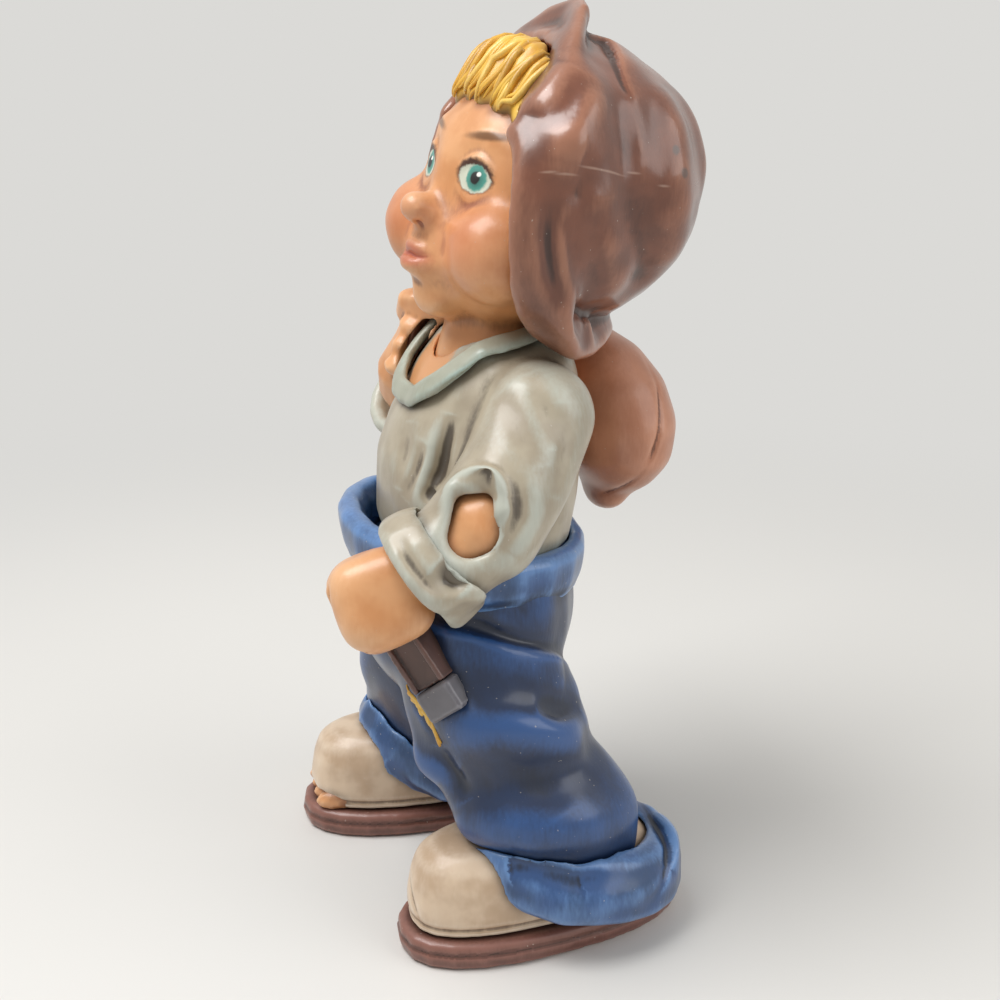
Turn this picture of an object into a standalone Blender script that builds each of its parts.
"""Slip-cast ceramic figurine of a striding boy with a sack, as separate luted pieces.

Metres, +Z up. The boy faces -Y, his left side is +X, and the soles stand on z = 0.
Each clay piece is formed whole, then cut back to a thin slip line from the pieces that
it is luted on, so that every piece seats on its neighbours. The big castings are hollow.
"""
import math

import bmesh
import bpy
from mathutils import Euler, Matrix, Vector
from mathutils.bvhtree import BVHTree
from mathutils.geometry import intersect_point_line

# Ware: the cast clay itself
JOINT_GAP = 0.0004
GRIP_GAP = 0.0007
WALL = 0.005
VENT_DIAMETER = 0.011

# Soles and shoes
SOLE_LENGTH = 0.103
SOLE_WIDTH = 0.048
SOLE_THICKNESS = 0.010
SOLE_ROUNDING = 0.003
SHOE_INSET = 0.0025
SHOE_HEIGHT = 0.029
LEFT_FOOT = Vector((0.043, 0.001, 0.0))
RIGHT_FOOT = Vector((-0.040, -0.016, 0.0))
TOE_OUT = math.radians(4)
TOE_MOUTH_HEIGHT = 0.0065
TOE_MOUTH_DEPTH = 0.016

# Trousers
WAIST_HEIGHT = 0.132
WAIST_WIDTH = 0.088
WAIST_DEPTH = 0.072
HIP_WIDTH = 0.095
HIP_DEPTH = 0.077
CROTCH_HEIGHT = 0.078
HIP_FORWARD = 0.014
LEG_WIDTH = 0.058
LEG_DEPTH = 0.056
HEM_HEIGHT = 0.018
ANKLE_SETBACK = 0.009
CUFF_THICKNESS = 0.016
CUFF_HEIGHT = 0.026
CUFF_REACH = 0.040
CUFF_SPREAD = 0.033
FOLD_WIDTH = 0.010
FOLD_HEIGHT = 0.004
WAISTBAND_THICKNESS = 0.0095
WAISTBAND_HEIGHT = 0.014
WAISTBAND_TILT = 0.005

# Shirt, collar and sleeves
CHEST_RISE = 0.028
CHEST_HEIGHT = WAIST_HEIGHT + CHEST_RISE
CHEST_WIDTH = 0.080
CHEST_DEPTH = 0.066
SHOULDER_RISE = 0.025
SHOULDER_HEIGHT = CHEST_HEIGHT + SHOULDER_RISE
SHOULDER_WIDTH = 0.078
SHOULDER_DEPTH = 0.056
NECK_RISE = 0.015
NECK_HEIGHT = SHOULDER_HEIGHT + NECK_RISE
COLLAR_WIDTH = 0.011
COLLAR_THICKNESS = 0.006
SLEEVE_DIAMETER = 0.036
SLEEVE_CUFF_WIDTH = 0.016
SLEEVE_CUFF_THICKNESS = 0.007
ARM_DIAMETER = 0.025
FIST_WIDTH = 0.027
FINGER_DIAMETER = 0.0078
ELBOW_HOLE_LENGTH = 0.026

# Head, hair and hat
NECK_DIAMETER = 0.030
NECK_SHIFT = -0.002
CHIN_RISE = 0.019
HEAD_WIDTH = 0.080
HEAD_HEIGHT = SHOULDER_HEIGHT + CHIN_RISE + HEAD_WIDTH / 2
HEAD_TURN = Euler((math.radians(-16), math.radians(4), math.radians(12)), "XYZ")
HAT_EASE = 0.008
HAT_LENGTH = 0.068
BRIM_WIDTH = 0.018
BRIM_PEAK = 0.032
BRIM_THICKNESS = 0.007
HAT_FOLD_WIDTH = 0.008
HAT_FOLD_HEIGHT = 0.004
HAIR_LOCK_DIAMETER = 0.016

# Sack and strap
SACK_WIDTH = 0.062
SACK_DEPTH = 0.042
SACK_LENGTH = 0.066
SACK_NECK_DIAMETER = 0.013
STRAP_WIDTH = 0.014
STRAP_THICKNESS = 0.005
STRAP_LENGTH = 0.020
STRAP_STANDOFF = 0.0024
CLIP_LENGTH = 0.011

# Fineness of the lofts and of the blended clay
SIDES = 16
RINGS = 8
BLEND_VOXEL = 0.002
HAND_VOXEL = 0.0012
MERGE_DISTANCE = 0.000002

SIDE_SIGNS = {"left": 1, "right": -1}
FEET = {"left": LEFT_FOOT, "right": RIGHT_FOOT}
ACROSS = Vector((1, 0, 0))
HEAD_CENTRE = Vector((0, 0.011, HEAD_HEIGHT))
HEAD_FRAME = Matrix.Translation(HEAD_CENTRE) @ HEAD_TURN.to_matrix().to_4x4()

outer_forms = {}


def clear_scene():
    """Empty the scene, so that the model is all there is."""
    for existing in list(bpy.data.objects):
        bpy.data.objects.remove(existing, do_unlink=True)


def smooth_rows(rows, count):
    """Rows of numbers resampled along a smooth curve that runs through each given row."""
    padded = [rows[0], *rows, rows[-1]]
    spans = len(rows) - 1
    result = []
    for step in range(count):
        place = step * spans / (count - 1)
        span = min(int(place), spans - 1)
        t = place - span
        a, b, c, d = padded[span:span + 4]
        row = []
        for p, q, r, s in zip(a, b, c, d):
            bend = (2 * p - 5 * q + 4 * r - s) * t * t
            twist = (3 * q - p - 3 * r + s) * t * t * t
            row.append(0.5 * (2 * q + (r - p) * t + bend + twist))
        result.append(row)
    return result


def oval(centre, side, front, width, depth, sides, power=2.0):
    """Points of a superellipse: power 2 is an ellipse, more is squarer."""
    points = []
    for step in range(sides):
        angle = 2 * math.pi * step / sides
        c = math.cos(angle)
        s = math.sin(angle)
        across = math.copysign(abs(c) ** (2 / power), c) * width
        along = math.copysign(abs(s) ** (2 / power), s) * depth
        points.append(centre + side * across + front * along)
    return points


def add_skin(bm, loops, closed=False):
    """Skin point loops into a closed body: a ring if closed, else capped at both ends."""
    rows = [[bm.verts.new(point) for point in loop] for loop in loops]
    pairs = list(zip(rows, rows[1:]))
    if closed:
        pairs.append((rows[-1], rows[0]))
    for low, high in pairs:
        for index in range(len(low)):
            after = (index + 1) % len(low)
            bm.faces.new((low[index], low[after], high[after], high[index]))
    if not closed:
        bm.faces.new(rows[0])
        bm.faces.new(rows[-1])


def add_tube(bm, rows, across=ACROSS, rings=RINGS, sides=SIDES, domes=(False, False), power=2.0):
    """Loft a tube: each row is a section's centre x, y, z, its half width and its half depth."""
    stations = smooth_rows(rows, rings)
    loops = []
    for index, (x, y, z, width, depth) in enumerate(stations):
        before = Vector(stations[max(index - 1, 0)][:3])
        after = Vector(stations[min(index + 1, rings - 1)][:3])
        along = (after - before).normalized()
        side = (across - along * across.dot(along)).normalized()
        front = along.cross(side)
        centre = Vector((x, y, z))
        loops.append(oval(centre, side, front, width, depth, sides, power))
        if index == 0 and domes[0]:
            loops[:0] = dome_loops(centre, -along, side, front, width, depth, sides)[::-1]
        if index == rings - 1 and domes[1]:
            loops += dome_loops(centre, along, side, front, width, depth, sides)
    add_skin(bm, loops)


def dome_loops(centre, along, side, front, width, depth, sides):
    """Loops that round off a tube's end."""
    reach = min(width, depth)
    loops = []
    for degrees in (35, 60, 80):
        angle = math.radians(degrees)
        shrink = math.cos(angle)
        tip = centre + along * reach * math.sin(angle)
        loops.append(oval(tip, side, front, width * shrink, depth * shrink, sides))
    return loops


def add_band(bm, stations, sides=12):
    """Skin a closed band: each station is its centre, its width direction and its two sizes."""
    loops = []
    count = len(stations)
    for index, (centre, upward, width, thickness) in enumerate(stations):
        along = (stations[(index + 1) % count][0] - stations[index - 1][0]).normalized()
        up = (upward - along * upward.dot(along)).normalized()
        out = along.cross(up)
        loops.append(oval(centre, up, out, width / 2, thickness / 2, sides, 2.6))
    add_skin(bm, loops, closed=True)


def ring_stations(count, station):
    """Stations of a band, worked out at even angles round its ring."""
    return [station(2 * math.pi * step / count) for step in range(count)]


def add_ball(bm, centre, radii, frame=Matrix.Identity(4), subdivisions=3):
    """Add an ellipsoid, placed in the given frame."""
    place = frame @ Matrix.Translation(Vector(centre)) @ Matrix.Diagonal((*radii, 1))
    bmesh.ops.create_icosphere(bm, subdivisions=subdivisions, radius=1, matrix=place)


def new_mesh(name, bm):
    """Turn a finished bmesh into a mesh whose faces point out."""
    bmesh.ops.recalc_face_normals(bm, faces=bm.faces)
    mesh = bpy.data.meshes.new(name)
    bm.to_mesh(mesh)
    bm.free()
    return mesh


def new_object(name, mesh):
    """Put a mesh into the scene under its own name."""
    piece = bpy.data.objects.new(name, mesh)
    bpy.context.scene.collection.objects.link(piece)
    return piece


def apply_modifiers(piece):
    """Replace an object's mesh by what its modifiers make of it."""
    graph = bpy.context.evaluated_depsgraph_get()
    graph.update()
    piece.data = bpy.data.meshes.new_from_object(piece.evaluated_get(graph))
    piece.modifiers.clear()


def press_fold(mesh, path, width, height):
    """Raise a soft fold along a path on a fine mesh, or press a hollow if height is negative."""
    moves = []
    for vertex in mesh.vertices:
        gap = 1.0
        for start, end in zip(path, path[1:]):
            place, share = intersect_point_line(vertex.co, start, end)
            place = start.lerp(end, min(max(share, 0), 1))
            gap = min(gap, (vertex.co - place).length)
        moves.append(vertex.normal * height * math.exp(-(gap / width) ** 2))
    for vertex, move in zip(mesh.vertices, moves):
        vertex.co += move
    mesh.update()


def row_at(rows, share):
    """The section at a share of the way along a loft."""
    place = share * (len(rows) - 1)
    index = min(int(place), len(rows) - 2)
    return [low + (high - low) * (place - index) for low, high in zip(rows[index], rows[index + 1])]


def blend(piece, voxel, softening, share, folds=()):
    """Melt overlapping forms into one soft clay body, fold it and give it a light mesh."""
    remesh = piece.modifiers.new("melt", "REMESH")
    remesh.mode = "VOXEL"
    remesh.voxel_size = voxel
    soften = piece.modifiers.new("soften", "SMOOTH")
    soften.factor = 0.5
    soften.iterations = softening
    apply_modifiers(piece)
    for fold in folds:
        press_fold(piece.data, *fold)
    lighten = piece.modifiers.new("lighten", "DECIMATE")
    lighten.ratio = share
    apply_modifiers(piece)


def subtract(piece, mesh):
    """Cut one closed mesh out of a piece."""
    cutter = new_object("cutter", mesh)
    cutter.hide_render = True
    cutter.display_type = "WIRE"
    cut = piece.modifiers.new("cut", "BOOLEAN")
    cut.operation = "DIFFERENCE"
    cut.object = cutter
    cut.solver = "MANIFOLD"
    apply_modifiers(piece)
    bpy.data.objects.remove(cutter, do_unlink=True)


def grown(mesh, distance):
    """A copy of a mesh with its surface moved outward."""
    copy = mesh.copy()
    moved = [vertex.co + vertex.normal * distance for vertex in mesh.vertices]
    for vertex, place in zip(copy.vertices, moved):
        vertex.co = place
    return copy


def islands(bm):
    """The separate bodies of a bmesh, each as a list of faces."""
    unseen = set(bm.faces)
    bodies = []
    while unseen:
        body = [unseen.pop()]
        for face in body:
            for edge in face.edges:
                for other in edge.link_faces:
                    if other in unseen:
                        unseen.remove(other)
                        body.append(other)
        bodies.append(body)
    return bodies


def trim_crumbs(piece):
    """Drop the loose crumbs and the doubled points that a cut leaves behind."""
    bm = bmesh.new()
    bm.from_mesh(piece.data)
    bmesh.ops.remove_doubles(bm, verts=bm.verts, dist=MERGE_DISTANCE)
    bodies = sorted(islands(bm), key=lambda body: sum(face.calc_area() for face in body))
    for body in bodies[:-1]:
        bmesh.ops.delete(bm, geom=body, context="FACES")
    bmesh.ops.triangulate(bm, faces=bm.faces)
    bm.to_mesh(piece.data)
    bm.free()


def lute(piece, *neighbours, gap=JOINT_GAP):
    """Cut a piece back to the slip line round each neighbour, and keep its outer form."""
    for name in neighbours:
        subtract(piece, grown(outer_forms[name], gap))
    trim_crumbs(piece)
    outer_forms[piece.name] = piece.data.copy()


def hollow(piece, bm):
    """Empty a casting with an inner form that leaves the cast wall."""
    subtract(piece, new_mesh("hollow", bm))
    trim_crumbs(piece)


def clay(name, colour, roughness):
    """A painted and sealed ceramic finish."""
    finish = bpy.data.materials.new(name)
    finish.use_nodes = True
    shader = finish.node_tree.nodes["Principled BSDF"]
    shader.inputs["Base Color"].default_value = (*colour, 1)
    shader.inputs["Roughness"].default_value = roughness
    return finish


def dress(piece, finish):
    """Give a piece its finish and shade its rounds smooth."""
    piece.data.materials.clear()
    piece.data.materials.append(finish)
    piece.data.shade_smooth()
    piece.data.set_sharp_from_angle(angle=math.radians(40))


def foot_frame(side):
    """Where a foot stands: its middle on the floor, turned out a little."""
    turn = Matrix.Rotation(TOE_OUT * SIDE_SIGNS[side], 4, "Z")
    return Matrix.Translation(FEET[side]) @ turn


def add_stack(bm, frame, levels, power):
    """Stack upright sections: each level is its height, half width, half length and shift."""
    loops = []
    for height, width, length, shift in levels:
        loop = oval(Vector((0, shift, height)), ACROSS, Vector((0, 1, 0)), width, length, 24, power)
        loops.append([frame @ point for point in loop])
    add_skin(bm, loops)


def vent_mesh(side, height):
    """The casting vent, a plain bore up from under a foot."""
    bm = bmesh.new()
    radius = VENT_DIAMETER / 2
    place = foot_frame(side) @ Matrix.Translation((0, ANKLE_SETBACK, 0))
    bmesh.ops.create_cone(bm, cap_ends=True, segments=20, radius1=radius, radius2=radius,
                          depth=2 * height, matrix=place)
    return new_mesh("vent", bm)


def make_sole(side):
    """A thick rounded sole with a flat underside and its casting vent."""
    half_width = SOLE_WIDTH / 2
    half_length = SOLE_LENGTH / 2
    tuck = SOLE_ROUNDING * 0.3
    levels = [
        (0, half_width - SOLE_ROUNDING, half_length - SOLE_ROUNDING, 0),
        (tuck, half_width - tuck, half_length - tuck, 0),
        (SOLE_THICKNESS / 2, half_width, half_length, 0),
        (SOLE_THICKNESS - tuck, half_width - tuck, half_length - tuck, 0),
        (SOLE_THICKNESS, half_width - SOLE_ROUNDING, half_length - SOLE_ROUNDING, 0),
    ]
    bm = bmesh.new()
    add_stack(bm, foot_frame(side), levels, 2.4)
    sole = new_object(side + "_sole", new_mesh("sole", bm))
    lute(sole)
    subtract(sole, vent_mesh(side, SOLE_THICKNESS * 2))
    trim_crumbs(sole)
    return sole


def make_shoe(side):
    """A blunt worn shoe upper that stands back from the edge of its sole."""
    half_width = SOLE_WIDTH / 2 - SOLE_ROUNDING - SHOE_INSET / 2
    half_length = SOLE_LENGTH / 2 - SOLE_ROUNDING - SHOE_INSET / 2
    base = SOLE_THICKNESS + JOINT_GAP
    levels = [
        (base, half_width, half_length, 0),
        (base + SHOE_HEIGHT * 0.30, half_width * 1.03, half_length * 1.00, half_length * -0.01),
        (base + SHOE_HEIGHT * 0.60, half_width * 1.00, half_length * 0.92, half_length * -0.06),
        (base + SHOE_HEIGHT * 0.82, half_width * 0.88, half_length * 0.82, half_length * -0.11),
        (base + SHOE_HEIGHT * 0.95, half_width * 0.66, half_length * 0.68, half_length * -0.14),
        (base + SHOE_HEIGHT, half_width * 0.36, half_length * 0.46, half_length * -0.16),
    ]
    bm = bmesh.new()
    add_stack(bm, foot_frame(side), levels, 2.5)
    shoe = new_object(side + "_shoe", new_mesh("shoe", bm))
    lute(shoe)
    if side == "right":
        subtract(shoe, toe_mouth_mesh())
    subtract(shoe, vent_mesh(side, SOLE_THICKNESS + SHOE_HEIGHT * 2))
    trim_crumbs(shoe)
    return shoe


def toe_mouth_mesh():
    """The gap at the toe where the worn upper has come away from the sole."""
    bm = bmesh.new()
    tip = -SOLE_LENGTH / 2 + SOLE_ROUNDING + SHOE_INSET
    add_ball(bm, (0, tip, SOLE_THICKNESS), (SOLE_WIDTH * 0.36, TOE_MOUTH_DEPTH, TOE_MOUTH_HEIGHT),
             foot_frame("right"))
    return new_mesh("mouth", bm)


def make_toes():
    """The bare toes that show in the open toe of the right shoe."""
    bm = bmesh.new()
    back = -SOLE_LENGTH / 2 + SOLE_ROUNDING + SHOE_INSET + TOE_MOUTH_DEPTH * 0.55
    reach = TOE_MOUTH_DEPTH * 0.95
    width = SOLE_WIDTH * 0.10
    for step in (-1.5, -0.5, 0.5, 1.5):
        centre = (step * width * 1.55, back, SOLE_THICKNESS + TOE_MOUTH_HEIGHT * 0.45)
        add_ball(bm, centre, (width, reach, TOE_MOUTH_HEIGHT * 0.75), foot_frame("right"), 2)
    toes = new_object("right_toes", new_mesh("toes", bm))
    blend(toes, HAND_VOXEL, 2, 0.08)
    lute(toes, "right_sole")
    subtract(toes, grown(bpy.data.objects["right_shoe"].data, JOINT_GAP))
    lute(toes)
    return toes


def leg_rows(side, wall=0.0):
    """Sections of one trouser leg from the hip down to its hem, less the wall if hollow."""
    foot = FEET[side]
    width = LEG_WIDTH / 2 - wall
    depth = LEG_DEPTH / 2 - wall
    hip = Vector((foot.x * 0.55, -HIP_FORWARD - 0.002, CROTCH_HEIGHT + 0.024))
    ankle = Vector((foot.x, foot.y + ANKLE_SETBACK, HEM_HEIGHT))
    rows = []
    for share, sway, girth, slim in ((0, 0, 0.93, 1.0), (0.25, -0.004, 0.98, 0.98), (0.5, -0.003, 1.0, 0.92),
                                     (0.7, 0.0, 1.0, 0.93), (0.86, 0.001, 1.0, 1.0), (1, 0, 0.94, 0.94)):
        centre = hip.lerp(ankle, share)
        bow = math.sin(math.pi * share) * foot.x * 0.10
        rows.append((centre.x + bow, centre.y + sway, centre.z, width * girth, depth * slim))
    return rows


def pelvis_rows(wall=0.0):
    """Sections of the trouser seat from the crotch up to the flat waist rim."""
    y = -HIP_FORWARD
    rise = WAIST_HEIGHT - CROTCH_HEIGHT
    return [
        (0, y, CROTCH_HEIGHT, HIP_WIDTH * 0.30 - wall, HIP_DEPTH * 0.34 - wall),
        (0, y, CROTCH_HEIGHT + rise * 0.30, HIP_WIDTH * 0.48 - wall, HIP_DEPTH * 0.47 - wall),
        (0, y, CROTCH_HEIGHT + rise * 0.62, HIP_WIDTH * 0.50 - wall, HIP_DEPTH * 0.50 - wall),
        (0, y, WAIST_HEIGHT, WAIST_WIDTH / 2 - wall, WAIST_DEPTH / 2 - wall),
    ]


def leg_path(side, places):
    """A path round one leg: each place is a share of its length and a turn from its front."""
    rows = leg_rows(side)
    path = []
    for share, turn in places:
        x, y, z, width, depth = row_at(rows, share)
        angle = math.radians(turn) * SIDE_SIGNS[side]
        path.append(Vector((x + math.sin(angle) * width, y - math.cos(angle) * depth, z)))
    return path


def trouser_folds():
    """The seat's lap over each thigh, the hollow under it and the bag of cloth at the knee."""
    folds = []
    for side in FEET:
        lap = leg_path(side, ((0.15, 66), (0.16, 92), (0.18, 124), (0.20, 158)))
        hollow_way = leg_path(side, ((0.36, 50), (0.34, 100), (0.34, 150)))
        bag = leg_path(side, ((0.56, 20), (0.50, 60), (0.50, 105), (0.58, 150)))
        shin = leg_path(side, ((0.72, 40), (0.70, 85), (0.74, 125)))
        folds += [(lap, FOLD_WIDTH, FOLD_HEIGHT), (hollow_way, FOLD_WIDTH * 0.8, -FOLD_HEIGHT * 0.75),
                  (bag, FOLD_WIDTH, FOLD_HEIGHT * 1.1), (shin, FOLD_WIDTH, -FOLD_HEIGHT * 0.6)]
    return folds


def make_trousers():
    """Baggy trousers, cast hollow, open at the waist and over the shoes."""
    bm = bmesh.new()
    top = pelvis_rows()
    above = list(top[-1])
    above[2] += 0.02
    add_tube(bm, [*top, above])
    for side in FEET:
        add_tube(bm, leg_rows(side))
    trousers = new_object("trousers", new_mesh("trousers", bm))
    blend(trousers, BLEND_VOXEL, 6, 0.024, trouser_folds())
    rim = bmesh.new()
    bmesh.ops.create_cube(rim, size=0.3, matrix=Matrix.Translation((0, 0, WAIST_HEIGHT + 0.15)))
    subtract(trousers, new_mesh("rim", rim))
    lute(trousers, "left_shoe", "right_shoe")
    core = bmesh.new()
    inner = pelvis_rows(WALL)
    above = list(inner[-1])
    above[2] += 0.02
    add_tube(core, [*inner, above], rings=6, sides=16)
    hollow(trousers, core)
    for side in FEET:
        core = bmesh.new()
        add_tube(core, leg_rows(side, WALL * 1.5), rings=7, sides=14)
        hollow(trousers, core)
    return trousers


def make_trouser_cuff(side):
    """The wide rolled hem that lies over the shoe: high on the instep, low at the heel."""
    foot = FEET[side]
    middle = Vector((foot.x, foot.y + ANKLE_SETBACK + 0.002, 0))
    rest = SOLE_THICKNESS + CUFF_HEIGHT * 0.62

    def station(angle):
        forward = -math.cos(angle)
        lift = SHOE_HEIGHT * 0.48 * max(forward, 0) ** 2 - SOLE_THICKNESS * 0.7 * max(-forward, 0)
        x = math.sin(angle) * (CUFF_SPREAD - CUFF_THICKNESS / 2)
        y = -forward * (CUFF_REACH - CUFF_THICKNESS / 2)
        centre = middle + Vector((x, y, rest + lift))
        flare = Vector((-x * 8, -y * 8, 1)).normalized()
        return centre, flare, CUFF_HEIGHT, CUFF_THICKNESS

    bm = bmesh.new()
    add_band(bm, ring_stations(20, station), 8)
    cuff = new_object(side + "_trouser_cuff", new_mesh("cuff", bm))
    lute(cuff, side + "_sole", side + "_shoe", "trousers")
    return cuff


def torso_rows(wall=0.0):
    """Sections of the shirt from its hem on the waist rim up to the neck."""
    return [
        (0, -0.0105, WAIST_HEIGHT + JOINT_GAP, WAIST_WIDTH * 0.44 - wall, WAIST_DEPTH * 0.44 - wall),
        (0, -0.0090, (WAIST_HEIGHT + CHEST_HEIGHT) / 2, CHEST_WIDTH * 0.49 - wall, CHEST_DEPTH * 0.5 - wall),
        (0, -0.0070, CHEST_HEIGHT, CHEST_WIDTH * 0.50 - wall, CHEST_DEPTH * 0.50 - wall),
        (0, 0.002, SHOULDER_HEIGHT, SHOULDER_WIDTH * 0.50 - wall, SHOULDER_DEPTH * 0.47 - wall),
        (0, 0.007, (SHOULDER_HEIGHT + NECK_HEIGHT) / 2, SHOULDER_WIDTH * 0.42 - wall,
         SHOULDER_DEPTH * 0.37 - wall),
        (0, 0.011, NECK_HEIGHT, NECK_DIAMETER * 0.80 - wall, NECK_DIAMETER * 0.40 - wall),
    ]


def make_shirt():
    """The shirt body, cast hollow, standing on the waist rim."""
    bm = bmesh.new()
    add_tube(bm, torso_rows(), rings=10, sides=20, power=2.2)
    shirt = new_object("shirt", new_mesh("shirt", bm))
    lute(shirt, "head", "trousers")
    core = bmesh.new()
    rows = torso_rows(WALL)[:-1]
    below = list(rows[0])
    below[2] -= 0.01
    add_tube(core, [below, *rows], rings=8, sides=16, power=2.2)
    hollow(shirt, core)
    return shirt


def make_waistband():
    """The loose rolled top of the trousers, which stands out at the front."""
    middle = Vector((0, -HIP_FORWARD, WAIST_HEIGHT))

    def station(angle):
        forward = -math.cos(angle)
        x = math.sin(angle) * (WAIST_WIDTH / 2 + WAISTBAND_THICKNESS * 0.08)
        y = -forward * (WAIST_DEPTH / 2 + WAISTBAND_THICKNESS * 0.08)
        flare = Vector((x * 9, y * 9, 1)).normalized()
        centre = middle + Vector((x, y, forward * WAISTBAND_TILT))
        return centre, flare, WAISTBAND_HEIGHT, WAISTBAND_THICKNESS

    bm = bmesh.new()
    add_band(bm, ring_stations(22, station), 8)
    waistband = new_object("waistband", new_mesh("waistband", bm))
    lute(waistband, "trousers", "shirt")
    return waistband


def make_head():
    """A plain round child's head with plump cheeks, a button nose and a short neck."""
    half = HEAD_WIDTH / 2
    bm = bmesh.new()
    add_ball(bm, (0, half * 0.06, half * 0.06), (half, half * 0.96, half * 0.97), HEAD_FRAME)
    add_ball(bm, (0, -half * 0.20, -half * 0.50), (half * 0.80, half * 0.72, half * 0.55), HEAD_FRAME)
    add_ball(bm, (0, -half * 0.60, -half * 0.92), (half * 0.27, half * 0.22, half * 0.20), HEAD_FRAME)
    add_ball(bm, (0, -half * 0.98, -half * 0.30), (half * 0.16, half * 0.17, half * 0.14), HEAD_FRAME)
    add_ball(bm, (0, -half * 0.82, -half * 0.68), (half * 0.24, half * 0.17, half * 0.17), HEAD_FRAME)
    for sign in SIDE_SIGNS.values():
        add_ball(bm, (sign * half * 0.54, -half * 0.50, -half * 0.44), (half * 0.42,) * 3, HEAD_FRAME)
    radius = NECK_DIAMETER / 2
    top = HEAD_CENTRE - Vector((0, 0.004, HEAD_WIDTH * 0.3))
    add_tube(bm, [(0, NECK_SHIFT, SHOULDER_HEIGHT - 0.010, radius * 1.60, radius * 1.80),
                  (0, NECK_SHIFT, SHOULDER_HEIGHT + 0.004, radius * 1.42, radius * 1.44),
                  (0, NECK_SHIFT, (SHOULDER_HEIGHT + top.z) / 2 + 0.005, radius, radius),
                  (*top, radius * 1.1, radius * 1.1)])
    head = new_object("head", new_mesh("head", bm))
    blend(head, BLEND_VOXEL, 4, 0.036)
    lute(head)
    core = bmesh.new()
    add_ball(core, HEAD_CENTRE, (half - WALL * 1.6,) * 3, subdivisions=2)
    hollow(head, core)
    core = bmesh.new()
    bore = radius - WALL
    add_tube(core, [(0, NECK_SHIFT, SHOULDER_HEIGHT - 0.02, bore, bore), (*HEAD_CENTRE, bore, bore)])
    hollow(head, core)
    return head


def make_collar():
    """An open shirt collar laid on the shirt: round the nape, and down to a point on the chest."""
    chest = NECK_SHIFT - NECK_DIAMETER * 0.98
    nape = NECK_SHIFT + NECK_DIAMETER * 0.66
    reach = NECK_DIAMETER * 0.80
    shirt = bmesh.new()
    shirt.from_mesh(outer_forms["shirt"])
    cloth = BVHTree.FromBMesh(shirt)
    shirt.free()

    def station(angle):
        share = (1 - math.cos(angle)) / 2
        above = Vector((math.sin(angle) * reach, nape + (chest - nape) * share, HEAD_HEIGHT))
        place, facing, _, _ = cloth.ray_cast(above, Vector((0, 0, -1)))
        away = Vector((place.x, place.y - NECK_SHIFT, -NECK_DIAMETER / 2))
        away -= facing * away.dot(facing)
        return place + facing * COLLAR_THICKNESS * 0.6, away.normalized(), COLLAR_WIDTH, COLLAR_THICKNESS

    bm = bmesh.new()
    add_band(bm, ring_stations(24, station), 6)
    collar = new_object("collar", new_mesh("collar", bm))
    lute(collar, "shirt", "head")
    return collar


ARM_PATHS = {
    "left": {
        "shoulder": Vector((0.036, 0.001, SHOULDER_HEIGHT - 0.004)),
        "upper": Vector((0.045, -0.009, SHOULDER_HEIGHT - 0.019)),
        "elbow": Vector((0.049, -0.020, CHEST_HEIGHT - 0.008)),
        "cuff": Vector((0.0475, -0.036, CHEST_HEIGHT - 0.020)),
        "wrist": Vector((0.0450, -0.045, CHEST_HEIGHT - 0.026)),
        "fist": Vector((0.0405, -0.0535, CHEST_HEIGHT - 0.0310)),
        "grip": Vector((0.1, 0.75, -1)).normalized(),
    },
    "right": {
        "shoulder": Vector((-0.036, 0.001, SHOULDER_HEIGHT - 0.006)),
        "upper": Vector((-0.046, 0.002, SHOULDER_HEIGHT - 0.018)),
        "elbow": Vector((-0.053, -0.002, CHEST_HEIGHT - 0.007)),
        "cuff": Vector((-0.050, -0.013, CHEST_HEIGHT + 0.005)),
        "wrist": Vector((-0.042, -0.021, CHEST_HEIGHT + 0.017)),
        "fist": Vector((-0.0300, -0.0180, CHEST_HEIGHT + 0.031)),
        "grip": Vector((-0.1, 0.45, 1)).normalized(),
    },
}


FINGER_CURL = {"left": (-70, -25, 20, 65, 105), "right": (-60, -10, 40, 90, 140)}


def limb_rows(points, radius):
    """Sections of one round girth through the given points."""
    return [(*point, radius, radius) for point in points]


def make_arm(side):
    """A bare arm from inside the sleeve to a closed fist with four fingers and a thumb."""
    path = ARM_PATHS[side]
    radius = ARM_DIAMETER / 2
    across = Vector((0, 1, 0))
    bm = bmesh.new()
    add_ball(bm, path["elbow"], (radius * 1.12,) * 3)
    rows = limb_rows([path["elbow"], path["cuff"], path["wrist"]], radius * 0.95)
    rows.append((*path["fist"], radius * 0.80, radius * 0.80))
    add_tube(bm, rows, across, 8)
    add_fist(bm, side)
    arm = new_object(side + "_arm", new_mesh("arm", bm))
    blend(arm, HAND_VOXEL, 2, 0.036)
    return arm


def fist_frame(side):
    """A frame in the fist: Z runs along what it grips, and -Y points at the knuckles."""
    path = ARM_PATHS[side]
    along = path["grip"]
    knuckles = path["fist"] - path["wrist"]
    knuckles = (knuckles - along * knuckles.dot(along)).normalized()
    sideways = along.cross(knuckles).normalized()
    turn = Matrix((sideways, -knuckles, along)).transposed().to_4x4()
    return Matrix.Translation(path["fist"]) @ turn


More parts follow.
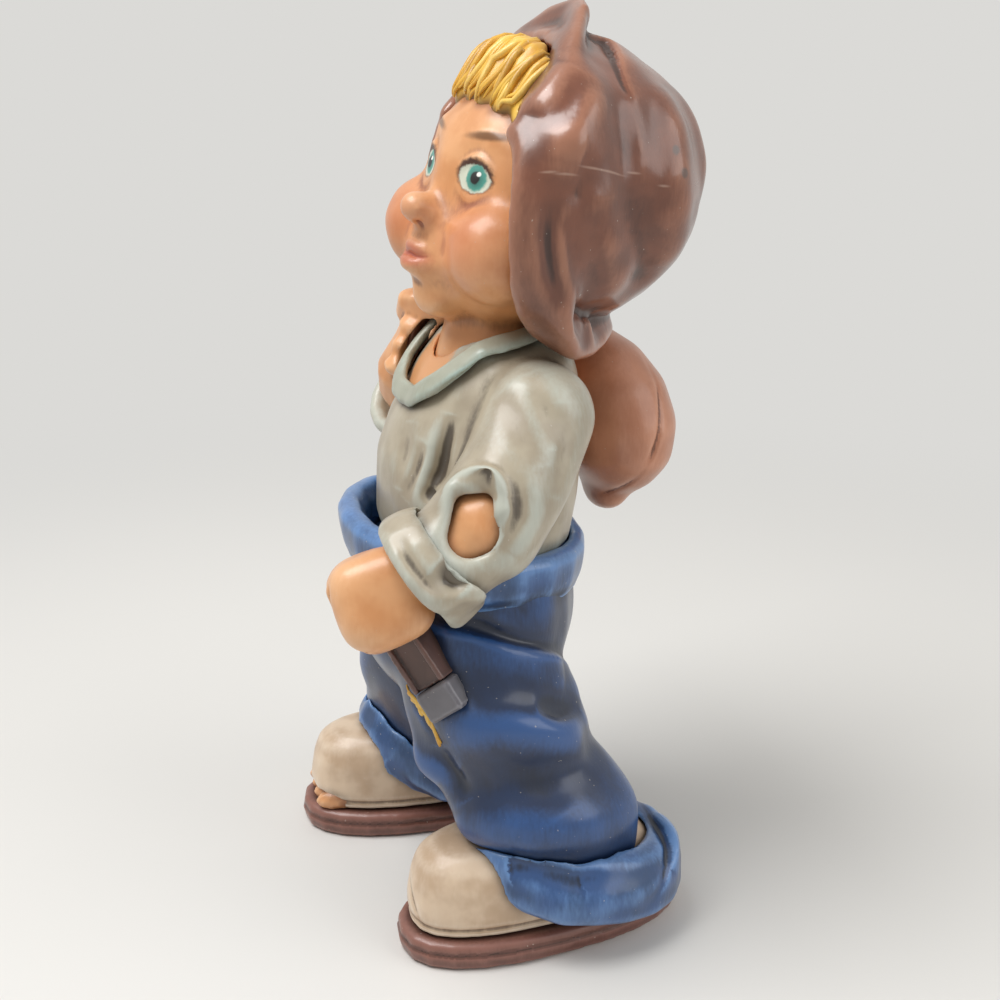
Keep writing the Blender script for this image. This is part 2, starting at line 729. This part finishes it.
def add_fist(bm, side):
    """Palm, thumb and four curled fingers stacked along the grip."""
    frame = fist_frame(side)
    half = FIST_WIDTH / 2
    add_ball(bm, (0, 0, 0), (half * 0.80, half * 0.85, half * 0.95), frame)
    for step in (-1.5, -0.5, 0.5, 1.5):
        level = step * FINGER_DIAMETER * 0.92
        rows = []
        for degrees in FINGER_CURL[side]:
            angle = math.radians(degrees)
            point = frame @ Vector((math.cos(angle) * half * 0.74, -math.sin(angle) * half * 0.78, level))
            rows.append((*point, FINGER_DIAMETER / 2, FINGER_DIAMETER / 2))
        add_tube(bm, rows, frame.to_3x3() @ Vector((0, 0, 1)), 9, 10, (True, True))
    thumb = [frame @ Vector((-half * 0.7, half * 0.2, half * 0.6)),
             frame @ Vector((-half * 0.75, -half * 0.45, half * 0.95)),
             frame @ Vector((-half * 0.1, -half * 0.85, half * 1.0))]
    add_tube(bm, limb_rows(thumb, FINGER_DIAMETER * 0.55), ACROSS, 6, 10, (True, True))


def make_sleeve(side):
    """A sleeve over the arm, luted to the shoulder and bent at the elbow."""
    path = ARM_PATHS[side]
    radius = SLEEVE_DIAMETER / 2
    across = Vector((0, 1, 0))
    bm = bmesh.new()
    add_tube(bm, limb_rows([path["shoulder"], path["upper"], path["elbow"]], radius), across, 8)
    add_ball(bm, path["shoulder"], (radius * 1.02,) * 3)
    add_ball(bm, path["elbow"], (radius * 1.03,) * 3)
    add_tube(bm, limb_rows([path["elbow"], path["cuff"]], radius * 0.94), across, 6)
    sleeve = new_object(side + "_sleeve", new_mesh("sleeve", bm))
    blend(sleeve, BLEND_VOXEL, 4, 0.05)
    lute(sleeve, "shirt", "trousers", "waistband", side + "_arm")
    if side == "left":
        tear = bmesh.new()
        place = path["elbow"] + Vector((radius * 0.92, -radius * 0.55, radius * 0.40))
        size = ELBOW_HOLE_LENGTH / 2
        add_ball(tear, place, (size * 0.8, size * 0.78, size))
        hollow(sleeve, tear)
    return sleeve


def make_sleeve_cuff(side):
    """The rolled end of a sleeve, a band round the forearm."""
    path = ARM_PATHS[side]
    along = (path["wrist"] - path["elbow"]).normalized()
    first = along.orthogonal().normalized()
    second = along.cross(first)
    reach = SLEEVE_DIAMETER * 0.94 / 2

    def station(angle):
        out = first * math.cos(angle) + second * math.sin(angle)
        flare = (along + out * 0.25).normalized()
        return path["cuff"] + out * reach, flare, SLEEVE_CUFF_WIDTH, SLEEVE_CUFF_THICKNESS

    bm = bmesh.new()
    add_band(bm, ring_stations(16, station), 8)
    cuff = new_object(side + "_sleeve_cuff", new_mesh("cuff", bm))
    lute(cuff, "shirt", "trousers", "waistband", "collar", side + "_arm", side + "_sleeve")
    return cuff


def crown_rows(wall=0.0):
    """Sections of the hat crown from the face opening back to its closed end."""
    half = HEAD_WIDTH / 2 + HAT_EASE - wall
    front = HEAD_CENTRE.y - 0.017
    z = HEAD_HEIGHT + 0.003
    shape = ((0.0, -0.002, 0.96, 0.94), (0.25, 0.001, 1.02, 0.99), (0.52, 0.005, 0.99, 0.94),
             (0.76, 0.010, 0.82, 0.76), (0.92, 0.014, 0.53, 0.48), (1.0, 0.015, 0.22, 0.20))
    return [(0, front + share * (HAT_LENGTH - wall), z + lift, half * girth, half * rise)
            for share, lift, girth, rise in shape]


def crown_path(side, places):
    """A path over the crown: each place is a share of its length and a turn from its top."""
    rows = crown_rows()
    path = []
    for share, turn in places:
        x, y, z, width, height = row_at(rows, share)
        angle = math.radians(turn) * SIDE_SIGNS[side]
        path.append(Vector((x + math.sin(angle) * width, y, z + math.cos(angle) * height)))
    return path


def crown_folds():
    """The loose drapes of the felt that fall from the peak beside and behind the cheeks."""
    folds = []
    for side in SIDE_SIGNS:
        drape = crown_path(side, ((0.16, 25), (0.24, 60), (0.22, 95), (0.30, 130)))
        hollow_way = crown_path(side, ((0.40, 70), (0.40, 100), (0.44, 130)))
        tail = crown_path(side, ((0.58, 60), (0.56, 95), (0.56, 130)))
        folds += [(drape, HAT_FOLD_WIDTH, HAT_FOLD_HEIGHT * 0.8), (hollow_way, HAT_FOLD_WIDTH, -HAT_FOLD_HEIGHT),
                  (tail, HAT_FOLD_WIDTH, HAT_FOLD_HEIGHT * 0.7)]
    return folds


def make_hat_crown():
    """The soft hat crown, a hollow bag over the back of the head."""
    bm = bmesh.new()
    add_tube(bm, crown_rows(), rings=10, sides=20)
    crown = new_object("hat_crown", new_mesh("crown", bm))
    blend(crown, BLEND_VOXEL, 2, 0.04, crown_folds())
    brow = bmesh.new()
    half = HEAD_WIDTH / 2 + HAT_EASE
    above = HEAD_CENTRE + Vector((0, -half * 0.69, half * 1.12))
    add_ball(brow, above, (half * 1.3, half * 0.75, half * 0.83))
    subtract(crown, new_mesh("brow", brow))
    lute(crown, "head", "shirt", "collar")
    core = bmesh.new()
    rows = crown_rows(WALL)
    ahead = list(rows[0])
    ahead[1] -= 0.02
    add_tube(core, [ahead, *rows], rings=8, sides=16)
    hollow(crown, core)
    return crown


def brim_stations():
    """The brim's loop: up to a peak over the brow, down beside each cheek, round the nape."""
    half = HEAD_WIDTH / 2 + HAT_EASE
    y = HEAD_CENTRE.y
    z = HEAD_HEIGHT
    side_rows = [
        (0.42, y + 0.002, z + half * 0.90, Vector((0.3, 0.6, 1)), BRIM_WIDTH * 1.25),
        (0.80, y - 0.009, z + half * 0.62, Vector((0.35, 0.9, 0.35)), BRIM_WIDTH),
        (0.99, y - 0.014, z + half * 0.20, Vector((0.22, 1, 0.1)), BRIM_WIDTH),
        (1.02, y - 0.015, z - half * 0.20, Vector((0.25, 1, 0)), BRIM_WIDTH),
        (0.94, y - 0.012, z - half * 0.55, Vector((0.35, 1, -0.2)), BRIM_WIDTH),
        (0.74, y - 0.002, z - half * 0.84, Vector((0.5, 0.9, -0.6)), BRIM_WIDTH * 0.9),
        (0.40, y + 0.014, z - half * 0.84, Vector((0.2, 0.8, -0.8)), BRIM_WIDTH * 0.8),
    ]
    peak = (Vector((0, y + 0.009, z + half * 0.98)), Vector((0, 0.5, 1)), BRIM_PEAK, BRIM_THICKNESS)
    nape = (Vector((0, y + 0.023, z - half * 0.82)), Vector((0, 0.8, -0.8)), BRIM_WIDTH * 0.7, BRIM_THICKNESS)
    loop = [peak]
    for share, place_y, place_z, direction, width in side_rows:
        loop.append((Vector((share * half, place_y, place_z)), direction, width, BRIM_THICKNESS))
    loop.append(nape)
    for centre, direction, width, thickness in reversed(loop[1:-1]):
        mirror = Vector((-1, 1, 1))
        loop.append((centre * mirror, direction * mirror, width, thickness))
    return loop


def smooth_loop(stations, count):
    """A band's stations resampled along a smooth closed curve."""
    rows = [(*centre, *direction.normalized(), width, thickness)
            for centre, direction, width, thickness in stations]
    size = len(rows)
    dense = smooth_rows([*rows[-3:], *rows, *rows[:4]], (size + 6) * count + 1)
    result = []
    for row in dense[3 * count:(size + 3) * count]:
        result.append((Vector(row[:3]), Vector(row[3:6]), row[6], row[7]))
    return result


def make_hat_brim():
    """The brim, turned up all round the face opening and luted on the crown."""
    bm = bmesh.new()
    add_band(bm, smooth_loop(brim_stations(), 2), 8)
    brim = new_object("hat_brim", new_mesh("brim", bm))
    lute(brim, "hat_crown", "head", "shirt", "collar")
    return brim


def make_hair():
    """The forelock: thick locks that come out from under the brim."""
    half = HEAD_WIDTH / 2
    radius = HAIR_LOCK_DIAMETER / 2
    bm = bmesh.new()
    for swing in (-0.38, -0.16, 0.06, 0.28, 0.50):
        bend = 0.4 * swing ** 2
        root = HEAD_FRAME @ Vector((swing * half, half * (bend - 0.44), half * (1.06 - bend)))
        rise = HEAD_FRAME @ Vector((swing * half * 1.1, half * (bend - 0.58), half * (1.04 - bend)))
        tip = HEAD_FRAME @ Vector((swing * half * 1.25, half * (bend - 0.72), half * (0.68 - bend)))
        add_tube(bm, limb_rows([root, rise, tip], radius), ACROSS, 8, 12, (True, True))
    hair = new_object("hair_forelock", new_mesh("hair", bm))
    blend(hair, HAND_VOXEL, 2, 0.018)
    lute(hair, "head", "hat_crown", "hat_brim", gap=GRIP_GAP)
    return hair


def sack_rows(wall=0.0):
    """Sections of the sack from its round bottom up to its gathered neck."""
    low = CHEST_HEIGHT - 0.024
    shape = ((0.03, -0.012, 0.044, 0.40), (0.20, -0.012, 0.046, 0.86), (0.42, -0.012, 0.046, 1.0),
             (0.64, -0.016, 0.042, 0.82), (0.84, -0.024, 0.034, 0.46), (1.0, -0.032, 0.027, 0.28))
    return [(x, y, low + share * SACK_LENGTH, SACK_WIDTH / 2 * girth - wall, SACK_DEPTH / 2 * girth - wall)
            for share, x, y, girth in shape]


def make_sack():
    """The tied sack on the back, cast hollow and open into its neck."""
    bm = bmesh.new()
    add_tube(bm, sack_rows(), rings=9, domes=(True, False))
    sack = new_object("sack", new_mesh("sack", bm))
    lute(sack, "shirt", "collar", "right_sleeve", "hat_crown", "hat_brim")
    core = bmesh.new()
    rows = [row for row in sack_rows(WALL) if row[4] > 0]
    above = list(sack_rows()[-1])
    above[3] = above[4] = 0.0015
    above[2] += 0.004
    add_tube(core, [*rows, above], rings=7, sides=14)
    hollow(sack, core)
    return sack


def sack_neck_mesh(clearance=0.0):
    """The gathered neck of the sack, over the right shoulder and down through the fist."""
    radius = SACK_NECK_DIAMETER / 2 + clearance
    top = Vector(sack_rows()[-1][:3])
    fist = ARM_PATHS["right"]["fist"]
    grip = ARM_PATHS["right"]["grip"]
    over = Vector((-0.046, 0.006, SHOULDER_HEIGHT + 0.018))
    points = [top - Vector((-0.003, -0.004, 0.004)), over, fist + grip * FIST_WIDTH * 0.42,
              fist - grip * FIST_WIDTH * 0.45]
    bm = bmesh.new()
    add_tube(bm, limb_rows(points, radius), ACROSS, 10, 12, (False, True))
    return new_mesh("neck", bm)


def make_sack_neck():
    """The sack's neck, cut to lie on the shoulder under the hat."""
    neck = new_object("sack_neck", sack_neck_mesh())
    lute(neck, "shirt", "collar", "head", "right_sleeve", "right_sleeve_cuff", "hat_crown", "hat_brim", "sack")
    return neck


def strap_frame():
    """A frame on the hip under the left fist: X across the strap, Z up it, -Y outward."""
    fist = ARM_PATHS["left"]["fist"]
    top = fist + Vector((-0.0045, 0.0095, -0.0145))
    down = Vector((0.46, 0.43, -0.77)).normalized()
    outward = Vector((0.60, -0.77, 0.10))
    outward = (outward - down * outward.dot(down)).normalized()
    sideways = down.cross(outward)
    top += outward * STRAP_STANDOFF
    return Matrix.Translation(top) @ Matrix((sideways, -outward, -down)).transposed().to_4x4()


def add_box(bm, frame, low, high):
    """A box between two corners of a frame."""
    low = Vector(low)
    high = Vector(high)
    size = high - low
    place = frame @ Matrix.Translation((low + high) / 2) @ Matrix.Diagonal((*size, 1))
    bmesh.ops.create_cube(bm, size=1, matrix=place)


def make_strap():
    """A flat strap that hangs from the left fist, channelled between two raised edges."""
    half = STRAP_WIDTH / 2
    edge = STRAP_WIDTH * 0.14
    thick = STRAP_THICKNESS
    seat = thick * 2
    profile = [(-half, seat), (-half, -thick * 0.5), (-half + edge, -thick * 0.5), (-half + edge, -thick * 0.2),
               (half - edge, -thick * 0.2), (half - edge, -thick * 0.5), (half, -thick * 0.5), (half, seat)]
    frame = strap_frame()
    bm = bmesh.new()
    rims = [[frame @ Vector((x, y, z)) for x, y in profile] for z in (0.006, -STRAP_LENGTH)]
    add_skin(bm, rims)
    strap = new_object("strap", new_mesh("strap", bm))
    lute(strap, "trousers", "left_arm", "left_sleeve_cuff")
    return strap


def make_strap_clip():
    """The block that closes the end of the strap."""
    half = STRAP_WIDTH / 2 + 0.0006
    thick = STRAP_THICKNESS
    bm = bmesh.new()
    add_box(bm, strap_frame(), (-half, -thick * 0.62, -STRAP_LENGTH - CLIP_LENGTH),
            (half, thick * 2, -STRAP_LENGTH - JOINT_GAP))
    bmesh.ops.bevel(bm, geom=bm.edges[:], offset=thick * 0.16, segments=2, affect="EDGES")
    clip = new_object("strap_clip", new_mesh("clip", bm))
    lute(clip, "trousers", "strap")
    return clip


def make_right_grip():
    """The right arm, with its fist closed round the neck of the sack."""
    arm = make_arm("right")
    subtract(arm, sack_neck_mesh(GRIP_GAP))
    lute(arm, "shirt", "collar", "head")
    return arm


def stand_on_origin(pieces):
    """Carry every piece on one empty, with the floor point under the middle at the origin."""
    corners = [vertex.co for piece in pieces for vertex in piece.data.vertices]
    low = Vector([min(corner[axis] for corner in corners) for axis in range(3)])
    high = Vector([max(corner[axis] for corner in corners) for axis in range(3)])
    figure = bpy.data.objects.new("figurine", None)
    bpy.context.scene.collection.objects.link(figure)
    for piece in pieces:
        piece.parent = figure
    figure.location = (-(low.x + high.x) / 2, -(low.y + high.y) / 2, -low.z)
    print("figure moved by", tuple(round(value, 5) for value in figure.location))
    print("size", tuple(round(value, 5) for value in high - low))


def main():
    clear_scene()
    skin = clay("skin_paint", (0.42, 0.19, 0.10), 0.45)
    hat = clay("hat_paint", (0.085, 0.032, 0.024), 0.35)
    straw = clay("hair_paint", (0.55, 0.32, 0.06), 0.4)
    cloth = clay("shirt_paint", (0.16, 0.15, 0.13), 0.45)
    denim = clay("trouser_paint", (0.012, 0.035, 0.12), 0.4)
    leather = clay("shoe_paint", (0.17, 0.125, 0.10), 0.45)
    welt = clay("sole_paint", (0.10, 0.035, 0.028), 0.4)
    sacking = clay("sack_paint", (0.22, 0.085, 0.055), 0.45)
    slate = clay("clip_paint", (0.05, 0.055, 0.07), 0.4)

    finishes = {}
    for side in FEET:
        finishes[make_sole(side)] = welt
        finishes[make_shoe(side)] = leather
    finishes[make_toes()] = skin
    finishes[make_trousers()] = denim
    for side in FEET:
        finishes[make_trouser_cuff(side)] = denim
    finishes[make_head()] = skin
    finishes[make_shirt()] = cloth
    finishes[make_waistband()] = denim
    finishes[make_collar()] = cloth
    left_arm = make_arm("left")
    lute(left_arm, "trousers", "waistband", "shirt")
    finishes[left_arm] = skin
    finishes[make_right_grip()] = skin
    for side in FEET:
        finishes[make_sleeve(side)] = cloth
        finishes[make_sleeve_cuff(side)] = cloth
    finishes[make_hat_crown()] = hat
    finishes[make_hat_brim()] = hat
    finishes[make_hair()] = straw
    finishes[make_sack()] = sacking
    finishes[make_sack_neck()] = sacking
    finishes[make_strap()] = welt
    finishes[make_strap_clip()] = slate
    for piece, finish in finishes.items():
        dress(piece, finish)
    stand_on_origin(list(finishes))


main()
